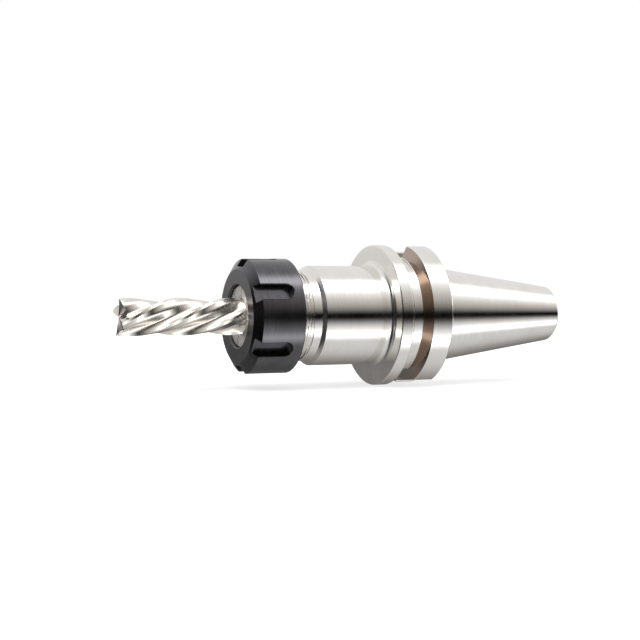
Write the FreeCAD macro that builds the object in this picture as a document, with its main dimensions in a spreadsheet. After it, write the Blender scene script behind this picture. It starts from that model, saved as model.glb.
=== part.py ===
"""Collet chuck holder: a 40-size steep-taper holder body with a spring collet, its nut and an end mill.

Frame: the X axis is the turning axis. X = 0 is the gauge plane, where the taper measures its gauge
diameter. +X runs into the machine spindle and -X towards the cutter. The drive slots stand a few degrees
off the Z axis, which is up.
All sizes are millimetres. The sheet "dims" drives every sub-part, and lengths along the axis are given
there as positive distances from the gauge plane.
"""

import FreeCAD, Part
import os

import Sketcher

DIMS = {
    # Taper and flange.
    "gauge_dia": 44.45,
    "taper_length": 65.4,
    "taper_rise": 7,
    "taper_run": 24,
    "end_chamfer": 1.0,
    "relief_dia": 43.6,
    "relief_slope": 0.8,
    "flange_dia": 63,
    "flange_back": 2,
    "flange_front": 27,
    "edge_chamfer": 0.5,
    # Gripper groove round the flange.
    "groove_place": 16.6,
    "groove_width": 10,
    "groove_floor_dia": 53,
    "groove_half_angle": 30,
    # Drive slots, open to the spindle side.
    "slot_width": 16.1,
    "slot_floor": 22.6,
    "slot_end": 20.6,
    "slot_chamfer": 0.8,
    "holder_turned": -6.7,
    # Body and threaded nose.
    "body_dia": 44,
    "body_corner": 2.5,
    "shoulder_back": 58.1,
    "shoulder_front": 59.6,
    "thread_dia": 40,
    "mouth": 79.5,
    "mouth_chamfer": 1.2,
    # Inside of the body, from the mouth to the pull-stud end.
    "seat_end": 46,
    "shank_bore_dia": 21.5,
    "shank_bore_end": 37,
    "screw_thread_dia": 18,
    "screw_thread_end": 4,
    "coolant_dia": 9,
    "stud_drill_dia": 14,
    "stud_drill_end": 22.4,
    "stud_pilot_dia": 17,
    "stud_pilot_length": 7,
    "stud_mouth_chamfer": 0.6,
    # Spring collet.
    "gauge_length": 90,
    "collet_length": 40,
    "collet_dia": 33,
    "collet_land": 1.0,
    "nose_length": 5.7,
    "nose_angle": 30,
    "pull_groove_dia": 29.8,
    "pull_groove_width": 2.7,
    "cone_dia": 32,
    "seat_angle": 8,
    "collet_chamfer": 0.5,
    "slit_width": 0.7,
    "slit_bridge": 6,
    "slit_count": 8,
    # Clamping nut.
    "nut_stand": 1.4,
    "nut_length": 22.5,
    "nut_dia": 50,
    "nut_face_dia": 40.8,
    "nut_bevel_length": 3.0,
    "nut_back_chamfer": 0.6,
    "nut_opening_dia": 27,
    "nut_opening_chamfer": 0.4,
    "nut_thread_end": 81.0,
    "lip_front": 83.2,
    "lip_dia": 30.8,
    "lip_cut_dia": 32.2,
    "lip_cut_offset": 0.4,
    "nut_slot_width": 7.05,
    "nut_slot_floor": 21.5,
    "nut_slot_end": 73.7,
    "nut_slot_count": 6,
    "nut_turned": 4,
    # End mill.
    "cutter_dia": 16,
    "cutter_tip": 144,
    "shank_end": 34,
    "shank_chamfer": 0.8,
    # Its helical flutes: one turn in a lead, and a gullet's corners by diameter and by angle
    # behind the cutting edge, taken on a plane just ahead of the tip.
    "flute_count": 4,
    "flute_lead": 90,
    "flute_run_in": 1,
    "flute_end": 88,
    "edge_turn": 19.5,
    "land_angle": 9,
    "back_dia": 14.6,
    "back_angle": 36,
    "gullet_dia": 11,
    "gullet_angle": 54,
    "core_dia": 9.8,
    "core_angle": 71,
    "rake_dia": 12,
    "rake_angle": 84,
    # Stop screw behind the shank.
    "screw_length": 14,
    "screw_chamfer": 1.0,
    "socket_width": 8,
    "socket_depth": 6,
    # Clearances between pieces, measured on the radius or along the axis.
    "seat_gap": 0.05,
    "thread_gap": 0.05,
    "shank_gap": 0.03,
    "nose_gap": 0.1,
    "screw_gap": 0.2,
}

# Places along the axis that several outlines share, as positive distances from the gauge plane.
COLLET_NOSE_END = "(dims.gauge_length - dims.nose_length)"
COLLET_LAND_END = f"({COLLET_NOSE_END} - dims.collet_land)"
CONE_START = f"({COLLET_LAND_END} - dims.pull_groove_width)"
COLLET_BACK = "(dims.gauge_length - dims.collet_length)"
NUT_FACE = "(dims.gauge_length + dims.nut_stand)"
NUT_BACK = f"({NUT_FACE} - dims.nut_length)"
SCREW_FRONT = "(dims.shank_end - dims.screw_gap)"
STUD_PILOT_END = "(dims.taper_length - dims.stud_pilot_length)"


def half(alias):
    """The radius for a diameter cell."""
    return f"dims.{alias} / 2"


def cone_radius(place):
    """The collet's outer radius at a distance from the gauge plane, on its long cone."""
    return f"({half('cone_dia')} - ({CONE_START} - {place}) * tan(dims.seat_angle * 1 deg))"


def taper_radius(place):
    """The spindle taper's radius at a distance behind the gauge plane."""
    return f"({half('gauge_dia')} - {place} * dims.taper_rise / dims.taper_run / 2)"


def make_sheet(doc):
    """The sheet of driving dimensions, one named cell a row."""
    sheet = doc.addObject("Spreadsheet::Sheet", "dims")
    for row, (alias, value) in enumerate(DIMS.items(), start=1):
        sheet.set(f"A{row}", alias)
        sheet.set(f"B{row}", str(value))
        sheet.setAlias(f"B{row}", alias)
    doc.recompute()
    return sheet


def make_body(doc, name):
    """An empty body whose label names the sub-part's file."""
    body = doc.addObject("PartDesign::Body", name)
    body.Label = name
    return body


def origin_feature(body, role):
    """One of the body's own origin planes or axes, by its role."""
    return next(item for item in body.Origin.OriginFeatures if item.Role == role)


def new_sketch(body, name, plane, offset=None):
    """A sketch on one of the body's origin planes, lifted off it by an optional formula."""
    sketch = body.newObject("Sketcher::SketchObject", name)
    sketch.AttachmentSupport = [(origin_feature(body, plane), "")]
    sketch.MapMode = "FlatFace"
    if offset:
        sketch.setExpression("AttachmentOffset.Base.z", offset)
    return sketch


def pin_point(sketch, geometry, vertex, across, up):
    """Place one sketch point by two formulas, measured from the sketch's origin."""
    for kind, formula in (("DistanceX", across), ("DistanceY", up)):
        if formula == "0":
            axis_line = -2 if kind == "DistanceX" else -1
            sketch.addConstraint(Sketcher.Constraint("PointOnObject", geometry, vertex, axis_line))
            continue
        index = sketch.addConstraint(Sketcher.Constraint(kind, -1, 1, geometry, vertex, 1.0))
        sketch.setExpression(f"Constraints[{index}]", formula)


def polygon_sketch(body, name, plane, corners, offset=None):
    """A closed polygon whose corners are all placed by formulas."""
    sketch = new_sketch(body, name, plane, offset)
    count = len(corners)
    # Loose starting corners on a rising curve: the constraints below bring each one to its place.
    loose = [FreeCAD.Vector(i, 1 + i * i / count, 0) for i in range(count)]
    for i in range(count):
        sketch.addGeometry(Part.LineSegment(loose[i], loose[(i + 1) % count]))
    for i in range(count):
        sketch.addConstraint(Sketcher.Constraint("Coincident", i, 2, (i + 1) % count, 1))
    for i, (across, up) in enumerate(corners):
        pin_point(sketch, i, 1, across, up)
    return sketch


def turn(body, name, outline, kind="PartDesign::Revolution"):
    """Turn a closed outline of (along the axis, radius) formulas round the X axis."""
    sketch = polygon_sketch(body, f"{name}_outline", "XZ_Plane", outline)
    feature = body.newObject(kind, name)
    feature.Profile = sketch
    feature.ReferenceAxis = (sketch, ["H_Axis"])
    feature.Angle = 360
    sketch.Visibility = False
    return feature


def cut_across(body, name, outline, width):
    """Cut an outline in the XZ plane right across it, with its width centred on the plane."""
    sketch = polygon_sketch(body, f"{name}_outline", "XZ_Plane", outline)
    pocket = body.newObject("PartDesign::Pocket", name)
    pocket.Profile = sketch
    pocket.SideType = "Symmetric"
    pocket.setExpression("Length", width)
    sketch.Visibility = False
    return pocket


def repeat_round_axis(body, name, features, count):
    """Repeat features evenly round the X axis."""
    pattern = body.newObject("PartDesign::PolarPattern", name)
    pattern.Originals = features
    pattern.Axis = (origin_feature(body, "X_Axis"), [""])
    pattern.Angle = 360
    pattern.setExpression("Occurrences", count)
    body.Tip = pattern
    return pattern


def turn_body(body, angle):
    """Turn a finished body about the X axis by a number of degrees."""
    body.setExpression("Placement.Rotation.Axis.x", "1")
    body.setExpression("Placement.Rotation.Axis.z", "0")
    body.setExpression("Placement.Rotation.Angle", f"{angle} * 1 deg")


def edge_names(shape, wanted):
    """The names of the edges of a shape that a test picks out."""
    return [f"Edge{i}" for i, edge in enumerate(shape.Edges, start=1) if wanted(edge)]


def check_cut(doc, body, before, name):
    """Stop if a cutting feature removed nothing."""
    doc.recompute()
    if body.Shape.Volume >= before - 1e-6:
        raise RuntimeError(f"{name} cut nothing")
    return body.Shape.Volume


def holder_outline():
    """The holder body's outside, from the middle of the mouth to the middle of the small end."""
    groove_depth = f"({half('flange_dia')} - {half('groove_floor_dia')})"
    groove_wall = f"{groove_depth} * tan(dims.groove_half_angle * 1 deg)"
    floor_half = f"(dims.groove_width / 2 - {groove_wall})"
    small_end = "dims.taper_length - dims.end_chamfer"
    return [
        ("-dims.mouth", "0"),
        ("-dims.mouth", f"{half('thread_dia')} - dims.mouth_chamfer"),
        ("-dims.mouth + dims.mouth_chamfer", half("thread_dia")),
        ("-dims.shoulder_front", half("thread_dia")),
        ("-dims.shoulder_back", half("body_dia")),
        ("-dims.flange_front", half("body_dia")),
        ("-dims.flange_front", f"{half('flange_dia')} - dims.edge_chamfer"),
        ("-dims.flange_front + dims.edge_chamfer", half("flange_dia")),
        ("-dims.groove_place - dims.groove_width / 2", half("flange_dia")),
        (f"-dims.groove_place - {floor_half}", half("groove_floor_dia")),
        (f"-dims.groove_place + {floor_half}", half("groove_floor_dia")),
        ("-dims.groove_place + dims.groove_width / 2", half("flange_dia")),
        ("-dims.flange_back - dims.edge_chamfer", half("flange_dia")),
        ("-dims.flange_back", f"{half('flange_dia')} - dims.edge_chamfer"),
        ("-dims.flange_back", half("relief_dia")),
        ("-dims.relief_slope", half("relief_dia")),
        ("0", half("gauge_dia")),
        (small_end, taper_radius(f"({small_end})")),
        ("dims.taper_length", f"{taper_radius(f'({small_end})')} - dims.end_chamfer"),
        ("dims.taper_length", "0"),
    ]


def holder_bore_outline():
    """The hole right through the holder: collet seat, shank bore, screw thread, coolant hole, stud hole."""
    screw = f"({half('screw_thread_dia')} + dims.thread_gap)"
    seat_mouth = f"{cone_radius('dims.mouth')} + dims.seat_gap"
    seat_back = f"{cone_radius('dims.seat_end')} + dims.seat_gap"
    return [
        ("-dims.mouth", "0"),
        ("-dims.mouth", seat_mouth),
        ("-dims.seat_end", seat_back),
        ("-dims.seat_end", half("shank_bore_dia")),
        ("-dims.shank_bore_end", half("shank_bore_dia")),
        (f"-dims.shank_bore_end + {half('shank_bore_dia')} - {screw}", screw),
        ("dims.screw_thread_end", screw),
        (f"dims.screw_thread_end + {screw} - {half('coolant_dia')}", half("coolant_dia")),
        (
            f"dims.stud_drill_end - ({half('stud_drill_dia')} - {half('coolant_dia')}) / 2",
            half("coolant_dia"),
        ),
        ("dims.stud_drill_end", half("stud_drill_dia")),
        (f"{STUD_PILOT_END} - {half('stud_pilot_dia')} + {half('stud_drill_dia')}", half("stud_drill_dia")),
        (STUD_PILOT_END, half("stud_pilot_dia")),
        ("dims.taper_length - dims.stud_mouth_chamfer", half("stud_pilot_dia")),
        ("dims.taper_length", f"{half('stud_pilot_dia')} + dims.stud_mouth_chamfer"),
        ("dims.taper_length", "0"),
    ]


def make_holder(doc):
    """The holder body: turned outside, bored through, two drive slots, a rounded corner at the flange."""
    body = make_body(doc, "holder_body")
    turn(body, "holder_blank", holder_outline())
    doc.recompute()
    volume = body.Shape.Volume
    turn(body, "through_hole", holder_bore_outline(), "PartDesign::Groove")
    volume = check_cut(doc, body, volume, "through_hole")

    clear_radius = f"{half('flange_dia')} + 1"
    slot = cut_across(
        body,
        "drive_slot",
        [
            ("-dims.slot_end", "dims.slot_floor"),
            ("-dims.flange_back + 1", "dims.slot_floor"),
            ("-dims.flange_back + 1", clear_radius),
            ("-dims.slot_end", clear_radius),
        ],
        "dims.slot_width",
    )
    volume = check_cut(doc, body, volume, "drive_slot")
    pattern = repeat_round_axis(body, "drive_slots", [slot], "2")
    check_cut(doc, body, volume, "drive_slots")

    outer = DIMS["flange_dia"] / 2
    across = DIMS["slot_width"] / 2

    def on_slot_lip(edge):
        ends = [vertex.Point for vertex in edge.Vertexes]
        return isinstance(edge.Curve, Part.Line) and all(
            abs(abs(point.y) - across) < 1e-4 and abs((point.y**2 + point.z**2) ** 0.5 - outer) < 1e-3
            for point in ends
        )

    chamfer = body.newObject("PartDesign::Chamfer", "slot_lips")
    chamfer.Base = (pattern, edge_names(pattern.Shape, on_slot_lip))
    chamfer.setExpression("Size", "dims.slot_chamfer")
    doc.recompute()

    def in_flange_corner(edge):
        centre = getattr(edge.Curve, "Center", None)
        radius = getattr(edge.Curve, "Radius", 0)
        at_flange = centre is not None and abs(centre.x + DIMS["flange_front"]) < 1e-4
        return at_flange and abs(radius - DIMS["body_dia"] / 2) < 1e-4

    corner = body.newObject("PartDesign::Fillet", "flange_corner")
    corner.Base = (chamfer, edge_names(chamfer.Shape, in_flange_corner))
    corner.setExpression("Radius", "dims.body_corner")
    doc.recompute()
    turn_body(body, "dims.holder_turned")
    return body


def nut_outline():
    """The nut's section: outside with its front bevel, threaded bore, lip and nose cone."""
    opening = half("nut_opening_dia")
    thread = f"{half('thread_dia')} + dims.thread_gap"
    land = f"({half('collet_dia')} + dims.nose_gap)"
    cone_back = f"({COLLET_NOSE_END} - dims.nose_gap)"
    cone_front = f"({cone_back} + ({land} - {opening}) / tan(dims.nose_angle * 1 deg))"
    return [
        (f"-{NUT_FACE}", f"{opening} + dims.nut_opening_chamfer"),
        (f"-{NUT_FACE}", half("nut_face_dia")),
        (f"-{NUT_FACE} + dims.nut_bevel_length", half("nut_dia")),
        (f"-{NUT_BACK} - dims.nut_back_chamfer", half("nut_dia")),
        (f"-{NUT_BACK}", f"{half('nut_dia')} - dims.nut_back_chamfer"),
        (f"-{NUT_BACK}", f"{thread} + dims.nut_back_chamfer"),
        (f"-{NUT_BACK} - dims.nut_back_chamfer", thread),
        ("-dims.nut_thread_end", thread),
        ("-dims.nut_thread_end", half("lip_dia")),
        ("-dims.lip_front", half("lip_dia")),
        ("-dims.lip_front", land),
        (f"-{cone_back}", land),
        (f"-{cone_front}", opening),
        (f"-{NUT_FACE} + dims.nut_opening_chamfer", opening),
    ]


def make_nut(doc):
    """The clamping nut: turned ring, off-centre lip, six spanner slots open to the front."""
    body = make_body(doc, "clamping_nut")
    turn(body, "nut_blank", nut_outline())
    doc.recompute()
    volume = body.Shape.Volume

    # The lip is bored again a little off centre, so that it stands out most on one side.
    lip_sketch = new_sketch(body, "lip_circle", "YZ_Plane", "-dims.lip_front - 0.01")
    lip_sketch.addGeometry(Part.Circle(FreeCAD.Vector(0, 1, 0), FreeCAD.Vector(0, 0, 1), 15))
    pin_point(lip_sketch, 0, 3, "0", "dims.lip_cut_offset")
    radius = lip_sketch.addConstraint(Sketcher.Constraint("Radius", 0, 15))
    lip_sketch.setExpression(f"Constraints[{radius}]", half("lip_cut_dia"))
    lip_cut = body.newObject("PartDesign::Pocket", "lip_cut")
    lip_cut.Profile = lip_sketch
    lip_cut.Reversed = True
    lip_cut.setExpression("Length", "dims.lip_front - dims.nut_thread_end + 0.5")
    lip_sketch.Visibility = False
    volume = check_cut(doc, body, volume, "lip_cut")

    slot = make_nut_slot(body)
    volume = check_cut(doc, body, volume, "spanner_slot")
    repeat_round_axis(body, "spanner_slots", slot, "dims.nut_slot_count")
    check_cut(doc, body, volume, "spanner_slots")
    turn_body(body, "dims.nut_turned")
    return body


def make_nut_slot(body):
    """One spanner slot's two cuts: a flat-floored channel open to the front, and its round end."""
    side = "dims.nut_slot_width / 2"
    front = f"-{NUT_FACE} - 1"
    round_centre = f"-dims.nut_slot_end - {side}"
    channel = polygon_sketch(
        body,
        "spanner_slot_outline",
        "XY_Plane",
        [(front, f"-{side}"), (round_centre, f"-{side}"), (round_centre, side), (front, side)],
        "dims.nut_slot_floor",
    )
    end = new_sketch(body, "slot_end_circle", "XY_Plane", "dims.nut_slot_floor")
    centre = FreeCAD.Vector(-DIMS["nut_slot_end"] - DIMS["nut_slot_width"] / 2, 0, 0)
    end.addGeometry(Part.Circle(centre, FreeCAD.Vector(0, 0, 1), DIMS["nut_slot_width"] / 2))
    pin_point(end, 0, 3, round_centre, "0")
    radius = end.addConstraint(Sketcher.Constraint("Radius", 0, DIMS["nut_slot_width"] / 2))
    end.setExpression(f"Constraints[{radius}]", side)
    cuts = []
    for name, sketch in (("spanner_slot", channel), ("slot_end", end)):
        pocket = body.newObject("PartDesign::Pocket", name)
        pocket.Profile = sketch
        pocket.Reversed = True
        pocket.setExpression("Length", f"{half('nut_dia')} - dims.nut_slot_floor + 1")
        sketch.Visibility = False
        cuts.append(pocket)
    return cuts


def collet_outline():
    """The collet's section: nose cone, land, pull-out groove, long cone and bore."""
    bore = f"{half('cutter_dia')} + dims.shank_gap"
    nose = f"{half('collet_dia')} - dims.nose_length * tan(dims.nose_angle * 1 deg)"
    back_cone = f"{cone_radius(f'({COLLET_BACK} + dims.collet_chamfer)')}"
    return [
        ("-dims.gauge_length", f"{bore} + dims.collet_chamfer"),
        ("-dims.gauge_length", nose),
        (f"-{COLLET_NOSE_END}", half("collet_dia")),
        (f"-{COLLET_LAND_END}", half("collet_dia")),
        (f"-{COLLET_LAND_END}", half("pull_groove_dia")),
        (f"-{CONE_START}", half("pull_groove_dia")),
        (f"-{CONE_START}", half("cone_dia")),
        (f"-{COLLET_BACK} - dims.collet_chamfer", back_cone),
        (f"-{COLLET_BACK}", f"{back_cone} - dims.collet_chamfer"),
        (f"-{COLLET_BACK}", f"{bore} + dims.collet_chamfer"),
        (f"-{COLLET_BACK} - dims.collet_chamfer", bore),
        ("-dims.gauge_length + dims.collet_chamfer", bore),
    ]


def make_collet(doc):
    """The spring collet: turned ring, slit from the front and, half a step round, from the back."""
    body = make_body(doc, "spring_collet")
    turn(body, "collet_blank", collet_outline())
    doc.recompute()
    volume = body.Shape.Volume
    inner = f"{half('cutter_dia')} - 2"
    outer = f"{half('collet_dia')} + 1"
    front_end = "-dims.gauge_length - 1"
    front_slit = cut_across(
        body,
        "front_slit",
        [
            (front_end, inner),
            (f"-{COLLET_BACK} - dims.slit_bridge", inner),
            (f"-{COLLET_BACK} - dims.slit_bridge", outer),
            (front_end, outer),
        ],
        "dims.slit_width",
    )
    volume = check_cut(doc, body, volume, "front_slit")
    repeat_round_axis(body, "front_slits", [front_slit], "dims.slit_count")
    volume = check_cut(doc, body, volume, "front_slits")

    # The back slits lie between the front ones: their plane is turned by half a step.
    back_slit = cut_across(
        body,
        "back_slit",
        [
            (f"-{COLLET_BACK} + 1", inner),
            ("-dims.gauge_length + dims.slit_bridge", inner),
            ("-dims.gauge_length + dims.slit_bridge", outer),
            (f"-{COLLET_BACK} + 1", outer),
        ],
        "dims.slit_width",
    )
    outline = back_slit.Profile[0]
    outline.AttachmentOffset.Rotation = FreeCAD.Rotation(FreeCAD.Vector(1, 0, 0), 0)
    outline.setExpression("AttachmentOffset.Rotation.Axis.x", "1")
    outline.setExpression("AttachmentOffset.Rotation.Axis.z", "0")
    outline.setExpression("AttachmentOffset.Rotation.Angle", "180 deg / dims.slit_count")
    volume = check_cut(doc, body, volume, "back_slit")
    repeat_round_axis(body, "back_slits", [back_slit], "dims.slit_count")
    check_cut(doc, body, volume, "back_slits")
    return body


def flute_outline():
    """What one flute removes, seen along the axis: relieved back, round gullet and rake face."""
    clear = f"({half('cutter_dia')} + 2)"
    edge = half("cutter_dia")
    land, next_edge = "dims.land_angle", "(360 / dims.flute_count)"
    corners = [
        (clear, land),
        (edge, land),
        (half("back_dia"), "dims.back_angle"),
        (half("gullet_dia"), "dims.gullet_angle"),
        (half("core_dia"), "dims.core_angle"),
        (half("rake_dia"), "dims.rake_angle"),
        (edge, next_edge),
        (clear, next_edge),
        (f"({clear} + 2)", f"(({land} + {next_edge}) / 2)"),
    ]
    outline = []
    for radius, angle in corners:
        turned = f"((dims.edge_turn + {angle}) * 1 deg)"
        outline.append((f"{radius} * cos{turned}", f"{radius} * sin{turned}"))
    return outline


def make_cutter(doc):
    """The end mill: a round shank with a chamfered back, and helical flutes from the tip."""
    body = make_body(doc, "end_mill")
    turn(
        body,
        "cutter_blank",
        [
            ("-dims.cutter_tip", "0"),
            ("-dims.cutter_tip", half("cutter_dia")),
            ("-dims.shank_end - dims.shank_chamfer", half("cutter_dia")),
            ("-dims.shank_end", f"{half('cutter_dia')} - dims.shank_chamfer"),
            ("-dims.shank_end", "0"),
        ],
    )
    doc.recompute()
    volume = body.Shape.Volume

    start = "-dims.cutter_tip - dims.flute_run_in"
    outline = polygon_sketch(body, "flute_outline", "YZ_Plane", flute_outline(), start)
    flute = body.newObject("PartDesign::SubtractiveHelix", "flute")
    flute.Profile = outline
    flute.ReferenceAxis = (origin_feature(body, "X_Axis"), [""])
    flute.Mode = "pitch-height-angle"
    flute.LeftHanded = True
    flute.setExpression("Pitch", "dims.flute_lead")
    flute.setExpression("Height", "dims.cutter_tip + dims.flute_run_in - dims.flute_end")
    outline.Visibility = False
    volume = check_cut(doc, body, volume, "flute")
    repeat_round_axis(body, "flutes", [flute], "dims.flute_count")
    check_cut(doc, body, volume, "flutes")
    return body


def make_stop_screw(doc):
    """The stop screw: a headless screw with a hexagon socket towards the shank."""
    body = make_body(doc, "stop_screw")
    back = f"({SCREW_FRONT} - dims.screw_length)"
    radius = half("screw_thread_dia")
    turn(
        body,
        "screw_blank",
        [
            (f"-{SCREW_FRONT}", "0"),
            (f"-{SCREW_FRONT}", f"{radius} - dims.screw_chamfer"),
            (f"-{SCREW_FRONT} + dims.screw_chamfer", radius),
            (f"-{back} - dims.screw_chamfer", radius),
            (f"-{back}", f"{radius} - dims.screw_chamfer"),
            (f"-{back}", "0"),
        ],
    )
    doc.recompute()
    volume = body.Shape.Volume
    flat = "dims.socket_width / 2"
    corner = f"({flat} / cos(30 deg))"
    hexagon = [
        (corner, "0"),
        (f"{corner} / 2", flat),
        (f"-{corner} / 2", flat),
        (f"-{corner}", "0"),
        (f"-{corner} / 2", f"-{flat}"),
        (f"{corner} / 2", f"-{flat}"),
    ]
    sketch = polygon_sketch(body, "socket_outline", "YZ_Plane", hexagon, f"-{SCREW_FRONT}")
    socket = body.newObject("PartDesign::Pocket", "socket")
    socket.Profile = sketch
    socket.Reversed = True
    socket.setExpression("Length", "dims.socket_depth")
    sketch.Visibility = False
    check_cut(doc, body, volume, "socket")
    return body


def check_document(doc, parts):
    """Stop on any failed object, or on a sub-part whose shape is missing or not valid."""
    for item in doc.Objects:
        if {"Invalid", "Error"} & set(item.State):
            raise RuntimeError(f"{item.Label} failed: {item.State}")
    for part in parts:
        if part.Shape.isNull() or not part.Shape.isValid():
            raise RuntimeError(f"{part.Label} has no valid shape")
        if len(part.Shape.Solids) != 1:
            raise RuntimeError(f"{part.Label} is {len(part.Shape.Solids)} solids, not one")


def main():
    doc = FreeCAD.newDocument("collet_chuck_holder")
    make_sheet(doc)
    parts = [
        make_holder(doc),
        make_nut(doc),
        make_collet(doc),
        make_cutter(doc),
        make_stop_screw(doc),
    ]
    doc.recompute()
    check_document(doc, parts)
    os.makedirs("parts", exist_ok=True)
    for part in parts:
        part.Shape.exportStep(f"parts/{part.Label}.step")
        print(part.Label, round(part.Shape.Volume / 1000, 3), "cm3")


main()
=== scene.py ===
import logging
import math
from dataclasses import dataclass, field
from enum import Enum

import bmesh
import bpy
import numpy as np
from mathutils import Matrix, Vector


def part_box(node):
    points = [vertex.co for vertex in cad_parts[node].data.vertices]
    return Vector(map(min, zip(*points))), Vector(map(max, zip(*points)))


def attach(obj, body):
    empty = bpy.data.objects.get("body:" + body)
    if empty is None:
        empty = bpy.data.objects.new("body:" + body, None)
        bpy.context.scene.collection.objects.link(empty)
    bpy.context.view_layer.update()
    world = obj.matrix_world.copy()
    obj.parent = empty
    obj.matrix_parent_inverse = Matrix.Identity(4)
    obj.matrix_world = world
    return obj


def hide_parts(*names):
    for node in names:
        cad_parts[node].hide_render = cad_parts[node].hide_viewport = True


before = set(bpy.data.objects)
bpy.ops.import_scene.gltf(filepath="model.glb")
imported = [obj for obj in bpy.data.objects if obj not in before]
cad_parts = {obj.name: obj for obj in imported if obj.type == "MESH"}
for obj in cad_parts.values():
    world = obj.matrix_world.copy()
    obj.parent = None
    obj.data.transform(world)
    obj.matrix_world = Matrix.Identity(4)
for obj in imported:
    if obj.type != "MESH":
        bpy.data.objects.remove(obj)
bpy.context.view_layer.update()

# Pieces are worked out in millimetres along the holder's axis X and put into meshes in metres.
MM = 0.001
# Two faces that meet at more than this angle keep a crisp edge between them.
CREASE = math.radians(32.0)
# Points nearer than this are one point, in metres.
WELD = 2e-7

log = logging.getLogger("holder")


class Hand(Enum):
    """Which way a helix climbs."""

    RIGHT = 1
    LEFT = -1


# ---------------------------------------------------------------- shapes

def ease(corners: list[tuple[float, float, float]], steps: int = 4, hold: float = 0.12) -> np.ndarray:
    """Rounds the corners of an outline.

    Each corner (x, r, cut) is replaced by the quadratic curve that leaves the incoming edge
    `cut` before the corner and joins the outgoing edge `cut` after it. A row at `hold` beyond
    each end of the curve keeps the shading of the neighbouring faces flat.

    Args:
        corners: Rows of x, r and the length cut back along both edges, in mm.
        steps: Number of spans in each rounded corner.
        hold: Distance of the holding rows from the rounded corner, in mm.

    Returns:
        An (n, 2) array of x and r.
    """
    table = np.array(corners, dtype=float)
    place, cut = table[:, :2], table[:, 2:]
    edge = np.diff(place, axis=0)
    length = np.linalg.norm(edge, axis=1, keepdims=True)
    along = edge / length
    into = np.vstack([along[:1], along])
    out = np.vstack([along, along[-1:]])
    reach = np.minimum(
        np.vstack([length[:1], length]), np.vstack([length, length[-1:]])
    )
    cut = np.minimum(cut, reach * 0.45)
    spare = np.minimum(hold, reach * 0.5 - cut).clip(0.0)
    start, stop = place - into * cut, place + out * cut
    t = np.linspace(0.0, 1.0, steps + 1)[None, :, None]
    curve = (
        (1 - t) ** 2 * start[:, None] + 2 * t * (1 - t) * place[:, None] + t**2 * stop[:, None]
    )
    rows = np.concatenate(
        [(start - into * spare)[:, None], curve, (stop + out * spare)[:, None]], axis=1
    )
    rows[0] = place[0]
    rows[-1] = place[-1]
    flat = rows.reshape(-1, 2)
    step = np.linalg.norm(np.diff(flat, axis=0), axis=1)
    return flat[np.concatenate([[True], step > 1e-5])]


def straight(x0: float, x1: float, r: float, pitch: float) -> np.ndarray:
    """Rows of a plain cylinder of radius r from x0 to x1, no further apart than pitch."""
    count = max(2, int(math.ceil(abs(x1 - x0) / pitch)) + 1)
    x = np.linspace(x0, x1, count)
    return np.stack([x, np.full_like(x, r)], axis=1)


def thread_depth(
    x: np.ndarray, turn: np.ndarray, pitch: float, depth: float, hand: Hand = Hand.RIGHT
) -> np.ndarray:
    """Depth of a V thread below its crest.

    The phase is x / pitch less the turn about the axis as a part of a full turn. The depth
    follows a triangle wave of that phase whose top and bottom are cut flat.

    Args:
        x: Places along the axis, in mm.
        turn: Angles about the axis, in radians.
        pitch: Distance from crest to crest, in mm.
        depth: Depth of the root below the crest, in mm.
        hand: Which way the thread climbs.

    Returns:
        Depths in mm, of the shape that x and turn broadcast to.
    """
    phase = x / pitch - hand.value * turn / (2 * math.pi)
    wave = np.abs(2.0 * (phase - np.floor(phase)) - 1.0)
    return depth * np.clip((wave - 0.14) / 0.66, 0.0, 1.0)


def around(profile: np.ndarray, turns: np.ndarray) -> np.ndarray:
    """Carries a profile round the axis.

    Args:
        profile: (n, 2) array of x and r, or (n, m, 2) where r changes with the turn.
        turns: m angles about the axis, from +Y towards +Z, in radians.

    Returns:
        An (n, m, 3) array of points: x, r cos(turn), r sin(turn).
    """
    if profile.ndim == 2:
        profile = np.repeat(profile[:, None, :], len(turns), axis=1)
    x, r = profile[..., 0], profile[..., 1]
    return np.stack([x, r * np.cos(turns), r * np.sin(turns)], axis=-1)


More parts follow.
